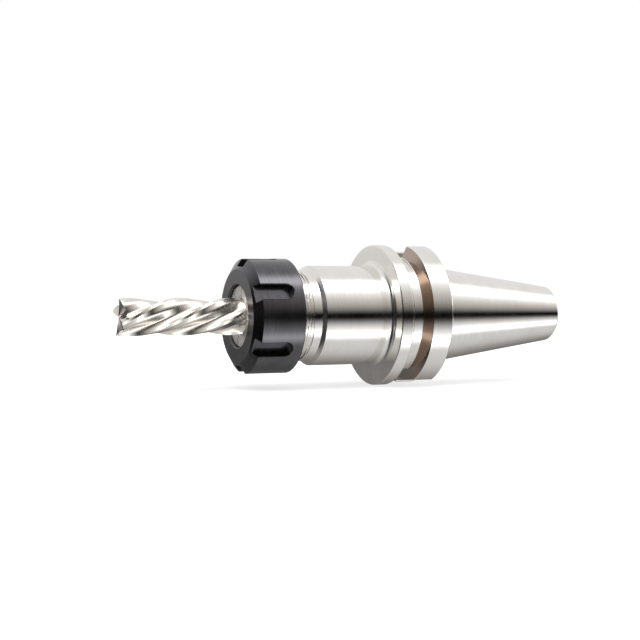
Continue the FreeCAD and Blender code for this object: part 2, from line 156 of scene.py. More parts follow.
@dataclass
class Shell:
    """Points and faces gathered from grids, which become one mesh."""

    points: list[np.ndarray] = field(default_factory=list)
    faces: list[np.ndarray] = field(default_factory=list)
    count: int = 0

    def add_points(self, points: np.ndarray) -> np.ndarray:
        """Adds points and returns the array of their numbers, shaped as the grid was."""
        flat = points.reshape(-1, 3)
        numbers = self.count + np.arange(len(flat))
        self.points.append(flat)
        self.count += len(flat)
        return numbers.reshape(points.shape[:-1])

    def add_quads(self, *corners: np.ndarray) -> None:
        """Adds four-sided faces from four arrays of point numbers."""
        self.faces.append(np.stack([c.reshape(-1) for c in corners], axis=1))

    def add_grid(self, grid: np.ndarray, wrap_rows: bool = False, wrap_columns: bool = False) -> np.ndarray:
        """Adds a surface given as a grid of points.

        Args:
            grid: (rows, columns, 3) array of points in mm.
            wrap_rows: Joins the last row to the first.
            wrap_columns: Joins the last column to the first.

        Returns:
            The point numbers, as a (rows, columns) array.
        """
        number = self.add_points(grid)
        ring = np.concatenate([number, number[:1]]) if wrap_rows else number
        if wrap_columns:
            ring = np.concatenate([ring, ring[:, :1]], axis=1)
        self.add_quads(ring[:-1, :-1], ring[:-1, 1:], ring[1:, 1:], ring[1:, :-1])
        return number

    def build(self, name: str, crease: float = CREASE) -> bpy.types.Object:
        """Makes the mesh object: welded, closed, faces outward, smooth up to the crease angle.

        Args:
            name: Name of the object.
            crease: Largest angle, in radians, that still shades smooth.

        Returns:
            The new object, linked to the scene.
        """
        points = np.concatenate(self.points) * MM
        faces = np.concatenate(self.faces)
        mesh = bpy.data.meshes.new(name)
        mesh.vertices.add(len(points))
        mesh.vertices.foreach_set("co", points.reshape(-1).astype(np.float32))
        mesh.loops.add(faces.size)
        mesh.loops.foreach_set("vertex_index", faces.reshape(-1).astype(np.int32))
        mesh.polygons.add(len(faces))
        mesh.polygons.foreach_set("loop_start", np.arange(0, faces.size, 4, dtype=np.int32))
        mesh.update(calc_edges=True)
        weld = bmesh.new()
        weld.from_mesh(mesh)
        loose = [v for v in weld.verts if not v.link_faces]
        bmesh.ops.delete(weld, geom=loose, context="VERTS")
        bmesh.ops.remove_doubles(weld, verts=weld.verts, dist=WELD)
        bmesh.ops.dissolve_degenerate(weld, dist=WELD, edges=weld.edges)
        bmesh.ops.recalc_face_normals(weld, faces=weld.faces)
        open_edges = sum(1 for e in weld.edges if not e.is_manifold)
        weld.to_mesh(mesh)
        weld.free()
        mesh.shade_smooth()
        mesh.set_sharp_from_angle(angle=crease)
        piece = bpy.data.objects.new(name, mesh)
        bpy.context.scene.collection.objects.link(piece)
        log.info("%s: %d faces, %d open edges", name, len(mesh.polygons), open_edges)
        return piece


# ---------------------------------------------------------------- finishes

def linear(hex_colour: str) -> tuple[float, float, float, float]:
    """Turns an sRGB colour such as "#C8C4BC" into linear red, green, blue and alpha."""
    value = np.array([int(hex_colour[i : i + 2], 16) for i in (1, 3, 5)]) / 255.0
    low, high = value / 12.92, ((value + 0.055) / 1.055) ** 2.4
    red, green, blue = np.where(value <= 0.04045, low, high)
    return float(red), float(green), float(blue), 1.0


def add_node(
    tree: bpy.types.NodeTree,
    kind: str,
    links: dict[str | int, bpy.types.NodeSocket] | None = None,
    values: dict[str | int, object] | None = None,
    **settings: object,
) -> bpy.types.Node:
    """Adds a node with its settings, input values and incoming links.

    Args:
        tree: The node tree.
        kind: The node's type name.
        links: Input name or number to the output socket that feeds it.
        values: Input name or number to its constant value.
        **settings: Attributes of the node.

    Returns:
        The new node.
    """
    node = tree.nodes.new(kind)
    for key, value in settings.items():
        setattr(node, key, value)
    for key, value in (values or {}).items():
        node.inputs[key].default_value = value
    for key, socket in (links or {}).items():
        tree.links.new(socket, node.inputs[key])
    return node


@dataclass(frozen=True)
class MetalFinish:
    """A metal surface with the marks that its last operation left.

    The marks are noise on Object coordinates, stretched so that they run round the axis.
    `mark_spacing` is their spacing along the axis in mm and `mark_run` their length round it.
    """

    name: str
    light: str
    dark: str
    roughness: float
    roughness_spread: float
    mark_spacing: float
    mark_run: float
    mark_height: float
    mottle_size: float = 9.0
    # Painted shade: a colour multiplied into one band of the surface, and that band's x and radius range.
    painted_shade: str = ""
    painted_shade_place: tuple[float, float, float, float] = (0.0, 0.0, 0.0, 0.0)

    def material(self) -> bpy.types.Material:
        """Makes the material.

        Returns:
            A node material: colour mottled between `dark` and `light`, roughness that
            varies with the marks, and a bump from the same marks.
        """
        material = bpy.data.materials.new(self.name)
        material.use_nodes = True
        tree = material.node_tree
        shader = tree.nodes["Principled BSDF"]
        shader.inputs["Metallic"].default_value = 1.0
        place = add_node(tree, "ShaderNodeTexCoord")
        marks_place = add_node(
            tree,
            "ShaderNodeMapping",
            {"Vector": place.outputs["Object"]},
            {
                "Scale": (
                    1.0 / (self.mark_spacing * MM),
                    1.0 / (self.mark_run * MM),
                    1.0 / (self.mark_run * MM),
                )
            },
        )
        marks = add_node(
            tree,
            "ShaderNodeTexNoise",
            {"Vector": marks_place.outputs["Vector"]},
            {"Scale": 1.0, "Detail": 3.0, "Roughness": 0.6},
        )
        mottle = add_node(
            tree,
            "ShaderNodeTexNoise",
            {"Vector": place.outputs["Object"]},
            {"Scale": 1.0 / (self.mottle_size * MM), "Detail": 4.0, "Roughness": 0.55},
        )
        blend = add_node(
            tree,
            "ShaderNodeMath",
            {0: marks.outputs["Fac"], 1: mottle.outputs["Fac"]},
            operation="ADD",
        )
        share = add_node(
            tree,
            "ShaderNodeMapRange",
            {"Value": blend.outputs[0]},
            {"From Min": 0.7, "From Max": 1.3, "To Min": 0.0, "To Max": 1.0},
        )
        colour = add_node(
            tree,
            "ShaderNodeMix",
            {"Factor": share.outputs["Result"]},
            {6: linear(self.dark), 7: linear(self.light)},
            data_type="RGBA",
        )
        gloss = add_node(
            tree,
            "ShaderNodeMapRange",
            {"Value": blend.outputs[0]},
            {
                "From Min": 0.7,
                "From Max": 1.3,
                "To Min": self.roughness - self.roughness_spread,
                "To Max": self.roughness + self.roughness_spread,
            },
        )
        bump = add_node(
            tree,
            "ShaderNodeBump",
            {"Height": marks.outputs["Fac"]},
            {"Strength": 1.0, "Distance": self.mark_height * MM},
        )
        base = colour.outputs[2]
        # Painted shade is multiplied into the colour wherever a band is given for it.
        if self.painted_shade:
            base = self.paint_shade(tree, place.outputs["Object"], base)
        tree.links.new(base, shader.inputs["Base Color"])
        tree.links.new(gloss.outputs["Result"], shader.inputs["Roughness"])
        tree.links.new(bump.outputs["Normal"], shader.inputs["Normal"])
        return material


    def paint_shade(
        self, tree: bpy.types.NodeTree, place: bpy.types.NodeSocket, base: bpy.types.NodeSocket
    ) -> bpy.types.NodeSocket:
        """Darkens one band of the surface with painted shade.

        The band is given as lowest and highest x, then lowest and highest radius, in mm, and
        fades in over 0.15 mm. The radius is the length of the place's Y and Z.

        Args:
            tree: The material's nodes.
            place: Object coordinates.
            base: The colour so far.

        Returns:
            The colour with the painted shade multiplied in.
        """
        x0, x1, r0, r1 = (v * MM for v in self.painted_shade_place)
        fade = 0.15 * MM
        axis = add_node(tree, "ShaderNodeSeparateXYZ", {0: place})
        across = add_node(tree, "ShaderNodeCombineXYZ", {1: axis.outputs["Y"], 2: axis.outputs["Z"]})
        radius = add_node(tree, "ShaderNodeVectorMath", {0: across.outputs[0]}, operation="LENGTH")
        share = None
        for value, low, high in ((axis.outputs["X"], x0, x1), (radius.outputs["Value"], r0, r1)):
            for start, stop in ((low - fade, low), (high + fade, high)):
                step = add_node(
                    tree, "ShaderNodeMapRange", {"Value": value},
                    {"From Min": start, "From Max": stop, "To Min": 0.0, "To Max": 1.0},
                )
                share = step if share is None else add_node(
                    tree, "ShaderNodeMath", {0: share.outputs[0], 1: step.outputs[0]}, operation="MULTIPLY"
                )
        return add_node(
            tree, "ShaderNodeMix", {"Factor": share.outputs[0], 6: base}, {7: linear(self.painted_shade)},
            data_type="RGBA", blend_type="MULTIPLY",
        ).outputs[2]


# Case-hardened alloy steel, cylindrically ground: bright, with faint fine rings round the axis.
GROUND_STEEL = MetalFinish(
    name="ground_alloy_steel", light="#F4F2EF", dark="#EAE7E2", roughness=0.13,
    roughness_spread=0.03, mark_spacing=0.35, mark_run=14.0, mark_height=0.0022,
    # Painted shade: #BDAFA5 darkens the walls of the flange's V-groove, standing in for their dark reflection.
    painted_shade="#BDAFA5", painted_shade_place=(-21.4, -11.8, 26.7, 31.2),
)
# Turned steel with a black oxide bath: nearly black and satin.
BLACK_OXIDE = MetalFinish(
    name="black_oxide_steel", light="#69686B", dark="#565558", roughness=0.24,
    roughness_spread=0.04, mark_spacing=0.4, mark_run=12.0, mark_height=0.003,
)
# Spring steel, hardened and ground, then slit: bright with a fine satin.
COLLET_STEEL = MetalFinish(
    name="ground_spring_steel", light="#F8F7F5", dark="#EFEDEA", roughness=0.5,
    roughness_spread=0.05, mark_spacing=0.3, mark_run=10.0, mark_height=0.002,
)
# High-speed steel, flutes ground lengthwise: a slightly warm bright metal.
CUTTER_STEEL = MetalFinish(
    name="ground_high_speed_steel", light="#F1ECE5", dark="#DFD9CF", roughness=0.27,
    roughness_spread=0.05, mark_spacing=0.5, mark_run=2.5, mark_height=0.003,
)
# Hardened screw steel, as rolled and tempered: dark grey with a slight gloss.
SCREW_STEEL = MetalFinish(
    name="tempered_screw_steel", light="#8E8A86", dark="#6F6B68", roughness=0.34,
    roughness_spread=0.05, mark_spacing=0.5, mark_run=6.0, mark_height=0.004,
)


# ---------------------------------------------------------------- pieces

@dataclass
class HolderBody:
    """The taper, flange, threaded nose and the hole through them, in one closed surface."""

    flange_radius: float = 31.5
    slot_half: float = 8.05
    slot_floor: float = 22.6
    slot_start: float = -20.6
    rear_face: float = -2.0
    lip: float = 0.8
    body_radius: float = 22.0
    thread_radius: float = 20.0
    thread_pitch: float = 1.5
    thread_depth: float = 0.92
    thread_end: float = -62.6
    mouth: float = -79.5
    floor_columns: int = 6
    wall_columns: int = 4
    arc_columns: int = 50
    turned: float = -6.7

    def profile(self) -> np.ndarray:
        """The closed section: outside from the mouth to the small end, then back inside."""
        groove_slope = 5.0 / 2.887
        edge = self.flange_radius - groove_slope * (self.slot_start + 21.6)
        front = ease([
            (-70.0, 14.57, 0), (self.mouth, 15.9, 0.15), (self.mouth, 18.8, 0.1),
            (-78.3, 20.0, 0.1), (-78.0, 20.0, 0),
        ])
        thread = straight(-77.9, self.thread_end + 0.1, self.thread_radius, 0.165)
        middle = ease([
            (self.thread_end + 0.3, 20.0, 0), (-59.6, 20.0, 0.15), (-58.1, 22.0, 0.25),
            (-27.0, 22.0, 2.5), (-27.0, 31.0, 0.15), (-26.5, 31.5, 0.15), (-21.6, 31.5, 0.3),
            (self.slot_start - 0.001, edge, 0), (self.slot_start, edge - 0.001, 0),
            (-18.71, 26.5, 0.25), (-14.49, 26.5, 0.25), (-11.6, 31.5, 0.3), (-2.5, 31.5, 0.15),
            (self.rear_face, 31.0, 0.15), (self.rear_face, 21.8, 0.1), (-0.8, 21.8, 0.1),
            (0.0, 22.225, 0.15), (64.4, 12.833, 0.2), (65.4, 11.833, 0.15), (65.4, 9.1, 0.1),
            (64.8, 8.5, 0.1), (58.4, 8.5, 0), (56.9, 7.0, 0), (56.5, 7.0, 0),
        ])
        stud = straight(56.3, 42.0, 7.0, 0.25)
        inside = ease([
            (41.9, 7.0, 0), (22.4, 7.0, 0), (19.9, 4.5, 0), (8.7, 4.5, 0), (4.0, 9.2, 0),
            (-35.45, 9.2, 0), (-37.0, 10.75, 0), (-46.0, 10.75, 0), (-46.0, 11.19, 0),
            (-70.001, 14.57, 0),
        ], steps=1)
        return np.vstack([front, thread, middle, stud, inside])

    def quarter(self, x: np.ndarray, r: np.ndarray, cut: np.ndarray) -> np.ndarray:
        """A quarter of every section, from the slot's middle out to the side.

        In a row that the slot cuts, the section is the slot's floor, its wall, a chamfered lip
        and the arc on to the side. In any other row all columns lie on the circle.

        Args:
            x: Place of each row along the axis.
            r: Radius of each row, or of each row and column.
            cut: True for the rows that the slot cuts.

        Returns:
            A (rows, columns, 2) array of the distance from the slot's middle plane and the
            height above the axis.
        """
        outer = self.slot_half + self.lip
        floor = np.linspace(0.0, self.slot_half, self.floor_columns)
        spread = np.linspace(0.0, math.asin(outer / self.flange_radius), self.floor_columns + self.wall_columns)
        start = np.where(cut, np.arcsin(np.minimum(outer / np.maximum(r, outer), 1.0)), spread[-1])
        arc = start[:, None] + (math.pi / 2 - start)[:, None] * np.linspace(0, 1, self.arc_columns)[None, 1:]
        angle = np.hstack([np.repeat(spread[None], len(r), axis=0), arc])
        across, up = r[:, None] * np.sin(angle), r[:, None] * np.cos(angle)
        top = np.sqrt(np.maximum(r**2 - outer**2, 0.0))
        rise = np.linspace(0.0, 1.0, self.wall_columns)[1:-1]
        wall = self.slot_floor + (top - self.lip - self.slot_floor)[:, None] * rise[None]
        cut_across = np.hstack([
            np.repeat(floor[None], len(r), axis=0),
            np.full_like(wall, self.slot_half),
            np.full((len(r), 1), self.slot_half),
            np.full((len(r), 1), outer),
        ])
        cut_up = np.hstack([
            np.full((len(r), self.floor_columns), self.slot_floor),
            wall,
            (top - self.lip)[:, None],
            top[:, None],
        ])
        wide = cut_across.shape[1]
        across[cut, :wide], up[cut, :wide] = cut_across[cut], cut_up[cut]
        return np.stack([across, up], axis=-1)

    def surface(self) -> np.ndarray:
        """The whole surface: the quarter mirrored to each side, then to the second slot."""
        rows = self.profile()
        x, r = rows[:, 0], rows[:, 1]
        cut = (x >= self.slot_start) & (x <= self.rear_face + 1e-6) & (r > 25.0)
        quarter = self.quarter(x, r, cut)
        flip = quarter[:, -2::-1]
        half = np.concatenate([quarter * (1, 1), flip * (1, -1)], axis=1)
        back = half[:, -2:0:-1] * (-1, 1)
        section = np.concatenate([half, back], axis=1)
        turn = math.radians(self.turned)
        across, up = section[..., 0], section[..., 1]
        section = np.stack([
            across * math.cos(turn) - up * math.sin(turn),
            across * math.sin(turn) + up * math.cos(turn),
        ], axis=-1)
        section = section * self.threads(x, r, section)
        depth = np.broadcast_to(x[:, None], section.shape[:2])
        return np.stack([depth, section[..., 0], section[..., 1]], axis=-1)

    def threads(self, x: np.ndarray, r: np.ndarray, section: np.ndarray) -> np.ndarray:
        """The factor that cuts both threads into the plain section.

        Args:
            x: Place of each row along the axis.
            r: Plain radius of each row.
            section: (rows, columns, 2) points of the plain section.

        Returns:
            A (rows, columns, 1) array: the threaded radius over the plain one.
        """
        turn = np.arctan2(section[..., 1], section[..., 0])
        nose = (np.abs(r - self.thread_radius) < 1e-6) & (x < self.thread_end + 0.2) & (x > -78.2)
        fade = np.clip((self.thread_end - x) / 1.2, 0, 1)
        outer = thread_depth(x[:, None], turn, self.thread_pitch, self.thread_depth) * (nose * fade)[:, None]
        stud = (np.abs(r - 7.0) < 1e-6) & (x > 41.95) & (x < 56.4)
        fade = np.clip((x - 42.0) / 1.0, 0, 1) * np.clip((56.4 - x) / 1.0, 0, 1)
        inner = thread_depth(x[:, None], turn, 2.0, 0.95) * (stud * fade)[:, None]
        return ((r[:, None] - outer + inner) / r[:, None])[..., None]

    def make(self, finish: bpy.types.Material) -> bpy.types.Object:
        """Builds and dresses the piece."""
        shell = Shell()
        shell.add_grid(self.surface(), wrap_rows=True, wrap_columns=True)
        piece = shell.build("holder_shank")
        piece.data.materials.append(finish)
        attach(piece, "holder")
        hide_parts("holder_body")
        return piece


@dataclass
class ClampingNut:
    """The slotted nut: bevelled nose, six spanner slots, thread, lip and nose cone."""

    front: float = -91.4
    face_radius: float = 20.4
    bevel: float = 3.0
    radius: float = 25.0
    slot_half: float = 3.525
    slot_floor: float = 21.5
    slot_end: float = -73.7
    lip: float = 0.3
    back_line: float = -71.5
    first_slot: float = 94.0
    slots: int = 6

    def outside(self) -> np.ndarray:
        """The outside's section from the front face to the back line, with eased corners."""
        shape = ease([
            (self.front, self.face_radius, 0),
            (self.front + self.bevel, self.radius, 0.25),
            (self.back_line, self.radius, 0),
        ])
        return shape

    def outer_radius(self, x: np.ndarray) -> np.ndarray:
        """Radius of the outside at each place x along the axis."""
        shape = self.outside()
        return np.interp(x, shape[:, 0], shape[:, 1])

    def stations(self) -> np.ndarray:
        """Places along a slot's straight side, close together where its floor breaks out."""
        centre = self.slot_end - self.slot_half
        bevel_end = self.front + self.bevel
        return np.unique(np.round(np.concatenate([
            self.front + np.array([0.0, 0.12, 0.36, 0.6]),
            self.front + np.linspace(0.717, 0.905, 5),
            self.front + np.array([1.1, 1.6, 2.2]),
            self.outside()[1:-1, 0],
            np.linspace(bevel_end + 0.6, centre, 10),
        ]), 5))

    def layers(self) -> tuple[np.ndarray, np.ndarray]:
        """Columns across half a sector.

        Returns:
            The angles of all columns at the back line, in radians from the slot's middle, and
            the parts, from 0 to 1, of the way from the slot's lip to the sector's edge.
        """
        inner = np.arcsin(self.slot_half * np.array([0, 0.25, 0.5, 0.75, 1.0]) / self.face_radius)
        lip = math.asin((self.slot_half + self.lip) / self.face_radius)
        share = np.concatenate([[0.0, 0.02], np.linspace(0.09, 1.0, 12)])
        outer = lip + (math.pi / self.slots - lip) * share
        return np.concatenate([inner, outer]), share

    def half_sector(self) -> np.ndarray:
        """Half of one sector's outside.

        Rows run along the slot's edge: down its straight side and round a quarter of its
        round end. Columns run outward: slot middle, floor, wall, chamfered lip, then in
        even parts to the sector's edge, or to the back line past its round end.

        Returns:
            A (rows, columns, 3) grid: x, distance from the slot's middle plane, height.
        """
        angles, share = self.layers()
        line = self.stations()
        centre = line[-1]
        edge_angle = math.pi / self.slots
        side = np.linspace(0.0, 0.45, 5)[1:]
        round_off = side[-1] + (math.pi / 2 - side[-1]) * (1 - angles[::-1] / edge_angle)
        bend = np.concatenate([side, round_off[1:]])
        psi = np.concatenate([np.zeros(len(line)), bend])
        x0 = np.concatenate([line, np.full(len(bend), centre)])
        # Where each row meets the sector's edge or the back line.
        goal_x = np.concatenate([
            line,
            centre + (self.back_line - centre) * side / side[-1],
            np.full(len(angles) - 1, self.back_line),
        ])
        goal_angle = np.concatenate([np.full(len(line) + len(side), edge_angle), angles[::-1][1:]])

        def at(reach: np.ndarray | float) -> tuple[np.ndarray, np.ndarray]:
            """Place along and across at a distance from the slot's middle line."""
            return x0 + reach * np.sin(psi), reach * np.cos(psi)

        columns = []
        for part in (0.0, 0.25, 0.5, 0.75, 1.0):
            x, across = at(self.slot_half * part)
            rim = self.outer_radius(x)
            columns.append((x, across, np.minimum(self.slot_floor, np.sqrt(rim**2 - across**2))))
        x, across = at(self.slot_half)
        rim = np.sqrt(self.outer_radius(x) ** 2 - across**2)
        floor = np.minimum(self.slot_floor, rim)
        columns.append((x, across, np.maximum(floor, rim - self.lip * (rim > self.slot_floor))))
        x, across = at(self.slot_half + self.lip)
        rim = self.outer_radius(x)
        lip_x, lip_angle = x, np.arcsin(across / rim)
        part = share[None, :]
        x = lip_x[:, None] + (goal_x - lip_x)[:, None] * part
        angle = lip_angle[:, None] + (goal_angle - lip_angle)[:, None] * part
        rim = self.outer_radius(x)
        outer = np.stack([x, rim * np.sin(angle), rim * np.cos(angle)], axis=-1)
        inner = np.stack([np.stack(c, axis=-1) for c in columns], axis=1)
        return np.concatenate([inner, outer], axis=1)

    def turned(self, grid: np.ndarray, degrees: float, mirror: bool) -> np.ndarray:
        """Turns a sector's grid about the axis so that its slot stands at an angle from +Y."""
        turn = math.radians(degrees)
        across = -grid[..., 1] if mirror else grid[..., 1]
        up = grid[..., 2]
        return np.stack([
            grid[..., 0],
            up * math.cos(turn) + across * math.sin(turn),
            up * math.sin(turn) - across * math.cos(turn),
        ], axis=-1)

    def inside(self, turns: np.ndarray) -> np.ndarray:
        """The rest of the section, from the back line round the bore to the front face.

        The thread is the holder's own, 0.06 mm clear of it, and the lip is cut off centre.

        Args:
            turns: Angles about the axis of the columns.

        Returns:
            A (rows, columns, 3) grid.
        """
        back = ease([
            (self.back_line, 25.0, 0), (-69.5, 25.0, 0.15), (-68.9, 24.4, 0.15),
            (-68.9, 20.65, 0.1), (-69.4, 20.05, 0),
        ])
        thread = straight(-69.5, -80.9, 20.05, 0.2)
        nose = ease([
            (-81.0, 20.05, 0), (-81.0, 16.1, 0), (-83.2, 16.1, 0), (-83.2, 16.6, 0),
            (-84.2, 16.6, 0), (-89.57, 13.5, 0.1), (-91.0, 13.5, 0.1), (self.front, 13.9, 0.1),
            (self.front, 17.0, 0), (self.front, self.face_radius, 0),
        ])
        rows = np.vstack([back, thread, nose])
        profile = np.repeat(rows[:, None, :], len(turns), axis=1)
        x, r = rows[:, 0], rows[:, 1]
        threaded = (np.abs(r - 20.05) < 1e-6) & (x < -69.45)
        depth = thread_depth(x[:, None], turns[None], 1.5, 0.92)
        profile[..., 1] -= np.minimum(depth, 0.8) * threaded[:, None]
        lip = np.abs(r - 16.1) < 1e-6
        profile[..., 1] += 0.4 * np.cos(turns)[None] * lip[:, None]
        return around(profile, turns)

    def make(self, finish: bpy.types.Material) -> bpy.types.Object:
        """Builds and dresses the piece."""
        shell = Shell()
        sector = self.half_sector()
        angles, _ = self.layers()
        step = 360.0 / self.slots
        for k in range(self.slots):
            for mirror in (False, True):
                shell.add_grid(self.turned(sector, self.first_slot + k * step, mirror))
        half = np.concatenate([-angles[:0:-1], angles])
        middle = np.radians(self.first_slot + step * np.arange(self.slots))
        turns = (middle[:, None] + half[None, :-1]).reshape(-1)
        shell.add_grid(self.inside(turns), wrap_columns=True)
        piece = shell.build("nut_shell")
        piece.data.materials.append(finish)
        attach(piece, "nut")
        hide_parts("clamping_nut")
        return piece


@dataclass
class SpringCollet:
    """The collet: nose cone, pull groove, long cone, and slits cut from both ends in turn."""

    front: float = -90.0
    back: float = -50.0
    bore: float = 8.03
    slit: float = 0.7
    bridge: float = 6.0
    slits: int = 16
    cells: int = 7

    def rows(self) -> np.ndarray:
        """Stations of the section: x, outer radius, and the bore's radius at the same x."""
        cone = math.tan(math.radians(8.0))
        outline = ease([
            (-90.0, 12.6, 0), (-89.98, 13.15, 0.1), (-84.3, 16.5, 0.12), (-83.3, 16.5, 0.12),
            (-83.28, 14.9, 0.2), (-80.62, 14.9, 0.2), (-80.6, 16.0, 0.12),
            (-50.5, 16.0 - 30.1 * cone, 0.1), (-50.0, 16.0 - 30.1 * cone - 0.5, 0),
        ], steps=3)
        stops = np.array([self.front + self.bridge, self.back - self.bridge])
        extra = np.stack([stops, np.interp(stops, outline[:, 0], outline[:, 1])], axis=1)
        chamfer = np.stack([np.array([-89.5]), np.interp([-89.5], outline[:, 0], outline[:, 1])], axis=1)
        table = np.vstack([outline, extra, chamfer])
        table = table[np.argsort(table[:, 0], kind="stable")]
        lead = np.maximum(self.front + 0.5 - table[:, 0], table[:, 0] - (self.back - 0.5))
        return np.column_stack([table, self.bore + np.clip(lead, 0.0, 0.5)])

    def make(self, finish: bpy.types.Material) -> bpy.types.Object:
        """Builds and dresses the piece.

        The outside and the bore are two grids with the same rows and columns. A slit is a
        column of cells left out of both, and walls join the two grids round every gap.
        """
        rows = self.rows()
        x, outer, inner = rows.T
        sector = 2 * math.pi / self.slits
        share = np.linspace(0.0, 1.0, self.cells)

        def ring(r: np.ndarray) -> np.ndarray:
            """Points at radius r, the first and last column of each sector on a slit's wall."""
            wall = np.arcsin(self.slit / 2 / r)[:, None, None]
            middle = sector * np.arange(self.slits)[None, :, None] + math.radians(11.0)
            turn = middle + wall + (sector - 2 * wall) * share[None, None, :]
            turn = turn.reshape(len(r), -1)
            return np.stack([
                np.broadcast_to(x[:, None], turn.shape),
                r[:, None] * np.cos(turn), r[:, None] * np.sin(turn),
            ], axis=-1)

        shell = Shell()
        out, bore = shell.add_points(ring(outer)), shell.add_points(ring(inner))
        count = out.shape[1]
        column = np.arange(count)
        gap = column % self.cells == self.cells - 1
        even = ((column + 1) // self.cells) % 2 == 0
        middle = (x[:-1] + x[1:]) / 2
        from_front = (middle < self.back - self.bridge)[:, None] & (gap & even)[None]
        from_back = (middle > self.front + self.bridge)[:, None] & (gap & ~even)[None]
        kept = ~(from_front | from_back)
        out, bore = (np.concatenate([a, a[:, :1]], axis=1) for a in (out, bore))
        for a in (out, bore):
            shell.add_quads(a[:-1, :-1][kept], a[:-1, 1:][kept], a[1:, 1:][kept], a[1:, :-1][kept])
        side = kept != np.roll(kept, 1, axis=1)
        i, j = np.nonzero(side)
        shell.add_quads(out[i, j], out[i + 1, j], bore[i + 1, j], bore[i, j])
        padded = np.vstack([np.zeros((1, count), bool), kept, np.zeros((1, count), bool)])
        i, j = np.nonzero(padded[1:] != padded[:-1])
        shell.add_quads(out[i, j], out[i, j + 1], bore[i, j + 1], bore[i, j])
        piece = shell.build("collet_shell")
        piece.data.materials.append(finish)
        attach(piece, "collet")
        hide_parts("spring_collet")
        return piece


@dataclass
class EndMill:
    """The four-flute cutter: helical flutes, relieved lands, dished end teeth and plain shank."""

    radius: float = 8.0
    tip: float = -144.0
    flute_end: float = -87.0
    run_out: float = 7.5
    shank_end: float = -34.0
    lead: float = 90.0
    flutes: int = 4
    hand: Hand = Hand.LEFT
    tip_turn: float = 15.5
    shank_chamfer: float = 0.8
    # The end teeth: how far up the body their relief reaches, and their dish in degrees.
    end_reach: float = 6.0
    end_dish: float = 2.0
    # The innermost ring of the end as a share of the radius.
    end_core: float = 0.04
    # Rows along the flutes and over the end, and the crease angle in degrees.
    body_rows: int = 150
    end_rows: int = 14
    crease: float = 38.0

    def tooth(self) -> tuple[np.ndarray, np.ndarray, np.ndarray]:
        """One flute's section as an outline with eased corners.

        It runs from a cutting edge over the narrow land, the relieved back and the round
        gullet, and up the rake face to the next edge.

        Returns:
            The angle behind the cutting edge in radians, the radius in mm, and how far the
            end tooth falls away from the tip plane at the rim, in mm.
        """
        step = 360.0 / self.flutes
        corners = np.array([
            (0.0, 8.0, 0.0), (9.0, 7.93, 0.1), (34.0, 7.2, 1.6), (53.0, 5.6, 2.0),
            (71.0, 4.9, 1.8), (84.0, 6.0, 0.8), (step, 8.0, 0.0),
        ])
        turn, r, cut = np.radians(corners[:, 0]), corners[:, 1], corners[:, 2]
        outline = ease(np.column_stack([r * np.cos(turn), r * np.sin(turn), cut]), steps=7)[:-1]
        angle = np.arctan2(outline[:, 1], outline[:, 0])
        fall = np.interp(
            np.degrees(angle),
            [0, 9, 30, 50, 70, 80, 86, step],
            [0, 0.16, 0.9, 2.3, 2.8, 2.3, 0.9, 0.0],
        )
        return angle, np.linalg.norm(outline, axis=1), fall

    def make(self, finish: bpy.types.Material) -> bpy.types.Object:
        """Builds and dresses the piece.

        A row of the body is the section turned by the helix: one full turn per lead. The
        flutes' depth fades to nothing over the run-out. The end is the first row drawn in
        to the middle, with each tooth falling away behind its edge.
        """
        angle, radius, fall = self.tooth()
        step = 2 * math.pi / self.flutes
        angle = (angle[None] + step * np.arange(self.flutes)[:, None]).reshape(-1)
        radius, fall = np.tile(radius, self.flutes), np.tile(fall, self.flutes)
        chamfer, end = self.shank_chamfer, self.shank_end
        x = np.concatenate([
            np.linspace(self.tip, self.flute_end, self.body_rows),
            np.array([self.flute_end + 0.4, end - chamfer - 0.12, end - chamfer]),
            np.array([end - chamfer / 2, end]),
        ])
        depth = np.clip((self.flute_end - x) / self.run_out, 0.0, 1.0)
        depth = depth * depth * (3 - 2 * depth)
        slope = np.clip(1.0 - (x - self.tip) / self.end_reach, 0.0, 1.0) ** 2
        place = x[:, None] + fall[None] * slope[:, None]
        r = self.radius - (self.radius - radius)[None] * depth[:, None]
        r = r - np.clip(x - (end - chamfer), 0.0, chamfer)[:, None]
        first = math.radians(self.tip_turn) + angle[None]
        twist = self.hand.value * 2 * math.pi / self.lead
        turn = first + twist * (place - self.tip)
        body = np.stack([place, r * np.cos(turn), r * np.sin(turn)], axis=-1)
        shell = Shell()
        shell.add_grid(body, wrap_columns=True)
        draw = np.linspace(1.0, self.end_core, self.end_rows)[:, None]
        dish = (1 - draw) * self.radius * math.tan(math.radians(self.end_dish))
        gash = fall[None] * (0.35 + 0.65 * draw)
        end_turn = first + twist * fall[None]
        end_r = r[:1] * draw
        face = np.stack([
            self.tip + dish + gash, end_r * np.cos(end_turn), end_r * np.sin(end_turn)
        ], axis=-1)
        face[0] = body[0]
        shell.add_grid(face, wrap_columns=True)
        middle = np.broadcast_to(face[-1].mean(axis=0), face[-1].shape)
        shell.add_grid(np.stack([face[-1], middle]), wrap_columns=True)
        flat = body[-1:] * np.array([1, 0.5, 0.5])
        centre = np.broadcast_to(np.array([self.shank_end, 0, 0]), flat.shape)
        shell.add_grid(np.concatenate([body[-1:], flat, centre]), wrap_columns=True)
        piece = shell.build("cutter_shell", math.radians(self.crease))
        piece.data.materials.append(finish)
        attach(piece, "cutter")
        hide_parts("end_mill")
        return piece


# ---------------------------------------------------------------- studio

